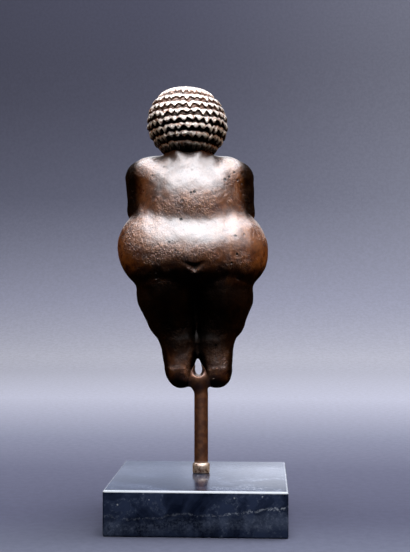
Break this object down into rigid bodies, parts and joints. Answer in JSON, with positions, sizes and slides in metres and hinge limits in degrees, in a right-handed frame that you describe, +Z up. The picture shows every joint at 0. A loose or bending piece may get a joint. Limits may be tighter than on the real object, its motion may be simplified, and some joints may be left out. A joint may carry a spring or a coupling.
{
  "type": "venus figurine on stand",
  "caption": "Small cast-bronze full-figured female figurine with faceless banded head, held upright by a forked bronze post on a square polished stone block.",
  "frame": {"origin": "centre of the block's underside, on the surface that the block stands on", "axes": "+Z up through the post and the figure. The figure faces -Y and its back is to +Y. +X is to the figure's own left."},
  "size_m": [0.062, 0.0621, 0.1562],
  "materials": {
    "figure_bronze": "waxed brown patina on cast bronze, rubbed bright on the high places",
    "post_bronze": "brown patina on drawn bronze rod, satin",
    "block_marble": "polished blue-black marble with fine grey veins"
  },
  "bodies": {
    "root": {"figure": "figure_bronze", "post": "post_bronze", "block": "block_marble"}
  },
  "joints": []
}
